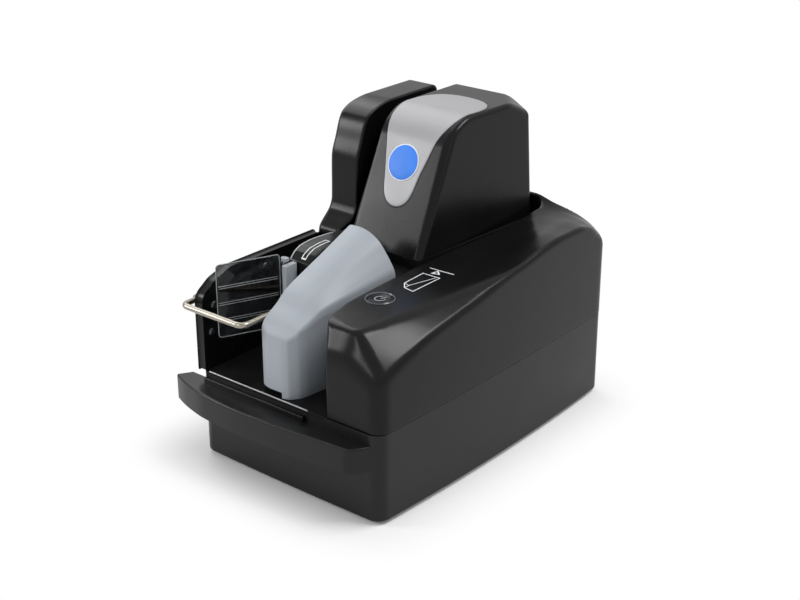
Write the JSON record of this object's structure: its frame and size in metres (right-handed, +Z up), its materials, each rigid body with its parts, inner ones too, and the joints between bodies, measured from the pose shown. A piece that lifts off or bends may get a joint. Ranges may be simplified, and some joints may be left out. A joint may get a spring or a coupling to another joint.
{
  "type": "cheque scanner",
  "caption": "Desktop slip scanner: upright U-shaped track round a tall tower, entry and exit pockets, hinged outer tower, clear exit flap and sliding wire stop.",
  "frame": {"origin": "on the desk, under the middle of the whole outline in plan", "axes": "+X to the operator's right, +Y to the rear, +Z up"},
  "size_m": [0.1735, 0.2646, 0.2106],
  "materials": {
    "housing_black": "fine-textured black ABS, satin",
    "inner_black": "matt black moulded plastic",
    "hood_grey": "smooth cool grey ABS, semi-gloss",
    "inlay_silver": "silver-grey painted plastic, satin",
    "badge_blue": "glossy blue disc, bare",
    "clear_plastic": "clear polycarbonate",
    "sensor_glass": "dark scanner glass",
    "nickel_wire": "nickel-plated steel wire",
    "steel": "plain turned steel",
    "zinc_steel": "zinc-plated steel sheet",
    "screw_steel": "zinc-plated screws",
    "roller_rubber": "ground rubber",
    "foot_rubber": "moulded rubber",
    "belt_rubber": "flat drive belt",
    "bush_brass": "sintered bronze",
    "pulley_plastic": "natural acetal",
    "board_green": "green laminate board",
    "post_grey": "dark grey ABS",
    "ring_grey": "black button, semi-gloss"
  },
  "bodies": {
    "frame": {"badge_disc": "badge_blue", "base_tub": "housing_black", "board_standoffs": "steel", "button_bezel": "ring_grey", "centre_tower": "housing_black", "chassis_plate": "zinc_steel", "chassis_screws": "screw_steel", "data_socket": "steel", "divider_hood": "hood_grey", "drive_belt": "belt_rubber", "feed_arm_pin": "inner_black", "feeder_block": "inner_black", "flap_pin": "steel", "flap_post": "post_grey", "front_tray": "housing_black", "inner_sensor": "inner_black", "inner_sensor_glass": "sensor_glass", "island_guide": "inner_black", "magnetic_head": "steel", "main_board": "board_green", "main_cover": "housing_black", "motor": "zinc_steel", "motor_bracket": "zinc_steel", "outer_wall": "housing_black", "pinch_pins": "steel", "power_jack": "inner_black", "rubber_feet": "foot_rubber", "shaft_bushes": "bush_brass", "tower_hinge_pin": "steel", "tower_inlay": "inlay_silver", "track_deck": "inner_black", "wall_screws": "screw_steel", "wire_collar": "inner_black"},
    "outer_tower": {"outer_tower": "housing_black", "outer_sensor": "inner_black", "outer_sensor_glass": "sensor_glass", "outer_pinch_pin": "steel"},
    "pinch_3": {"pinch_3_roller": "roller_rubber"},
    "exit_flap": {"exit_flap": "clear_plastic"},
    "wire_stop": {"wire_stop": "nickel_wire"},
    "power_button": {"power_button": "ring_grey"},
    "feed_arm": {"feed_arm": "inner_black"},
    "motor_rotor": {"motor_shaft": "steel", "motor_pulley": "pulley_plastic"},
    "pinch_1": {"pinch_1_roller": "roller_rubber"},
    "pinch_2": {"pinch_2_roller": "roller_rubber"},
    "retard": {"retard_roller": "roller_rubber"},
    "drive_1": {"drive_1_roller": "roller_rubber", "drive_1_shaft": "steel", "drive_1_pulley": "pulley_plastic"},
    "drive_2": {"drive_2_roller": "roller_rubber", "drive_2_shaft": "steel", "drive_2_pulley": "pulley_plastic"},
    "drive_3": {"drive_3_roller": "roller_rubber", "drive_3_shaft": "steel", "drive_3_pulley": "pulley_plastic"},
    "feed": {"feed_roller": "roller_rubber", "feed_shaft": "steel", "feed_pulley": "pulley_plastic"}
  },
  "joints": [
    {"name": "outer_tower_swing", "type": "hinge", "parent": "frame", "child": "outer_tower", "pos_m": [-0.06575, 0.1055, 0.0914], "axis": [0, 0, -1], "range_deg": [0, 32]},
    {"name": "exit_flap_swing", "type": "hinge", "parent": "frame", "child": "exit_flap", "pos_m": [-0.03535, -0.0685, 0.11], "axis": [0, 0, 1], "range_deg": [0, 22], "stiffness_Nm_per_rad": 0.02},
    {"name": "wire_stop_slide", "type": "slide", "parent": "frame", "child": "wire_stop", "axis": [0, -1, 0], "range_m": [0, 0.03]},
    {"name": "power_button_press", "type": "slide", "parent": "frame", "child": "power_button", "axis": [0, 0, -1], "range_m": [0, 0.001], "stiffness_N_per_m": 600},
    {"name": "feed_arm_swing", "type": "hinge", "parent": "frame", "child": "feed_arm", "pos_m": [0.03625, -0.0915, 0.087], "axis": [0, 0, -1], "range_deg": [0, 18], "stiffness_Nm_per_rad": 0.02},
    {"name": "motor_spin", "type": "hinge", "parent": "frame", "child": "motor_rotor", "pos_m": [-0.02375, 0.0005, 0.0485], "axis": [0, 0, 1], "continuous": true},
    {"name": "feed_spin", "type": "hinge", "parent": "frame", "child": "feed", "pos_m": [0.00743, -0.0535, 0.087], "axis": [0, 0, 1], "continuous": true},
    {"name": "drive_1_spin", "type": "hinge", "parent": "frame", "child": "drive_1", "pos_m": [0.01867, 0.0165, 0.087], "axis": [0, 0, 1], "continuous": true},
    {"name": "drive_2_spin", "type": "hinge", "parent": "frame", "child": "drive_2", "pos_m": [0.02397, 0.0825, 0.087], "axis": [0, 0, 1], "continuous": true},
    {"name": "drive_3_spin", "type": "hinge", "parent": "frame", "child": "drive_3", "pos_m": [-0.03245, 0.0745, 0.087], "axis": [0, 0, 1], "continuous": true},
    {"name": "pinch_1_spin", "type": "hinge", "parent": "frame", "child": "pinch_1", "pos_m": [0.03297, 0.0165, 0.087], "axis": [0, 0, 1], "continuous": true},
    {"name": "pinch_2_spin", "type": "hinge", "parent": "frame", "child": "pinch_2", "pos_m": [0.03827, 0.0825, 0.087], "axis": [0, 0, 1], "continuous": true},
    {"name": "pinch_3_spin", "type": "hinge", "parent": "outer_tower", "child": "pinch_3", "pos_m": [-0.04675, 0.0745, 0.087], "axis": [0, 0, 1], "continuous": true},
    {"name": "retard_spin", "type": "hinge", "parent": "frame", "child": "retard", "pos_m": [0.03073, -0.0535, 0.087], "axis": [0, 0, 1], "continuous": true}
  ],
  "couplings": [
    {"joint": "feed_spin", "follows": "motor_spin", "ratio": 1},
    {"joint": "drive_1_spin", "follows": "motor_spin", "ratio": 1},
    {"joint": "drive_2_spin", "follows": "motor_spin", "ratio": 1},
    {"joint": "drive_3_spin", "follows": "motor_spin", "ratio": 1},
    {"joint": "pinch_1_spin", "follows": "motor_spin", "ratio": -1.3333},
    {"joint": "pinch_2_spin", "follows": "motor_spin", "ratio": -1.3333},
    {"joint": "pinch_3_spin", "follows": "motor_spin", "ratio": -1.3333}
  ]
}
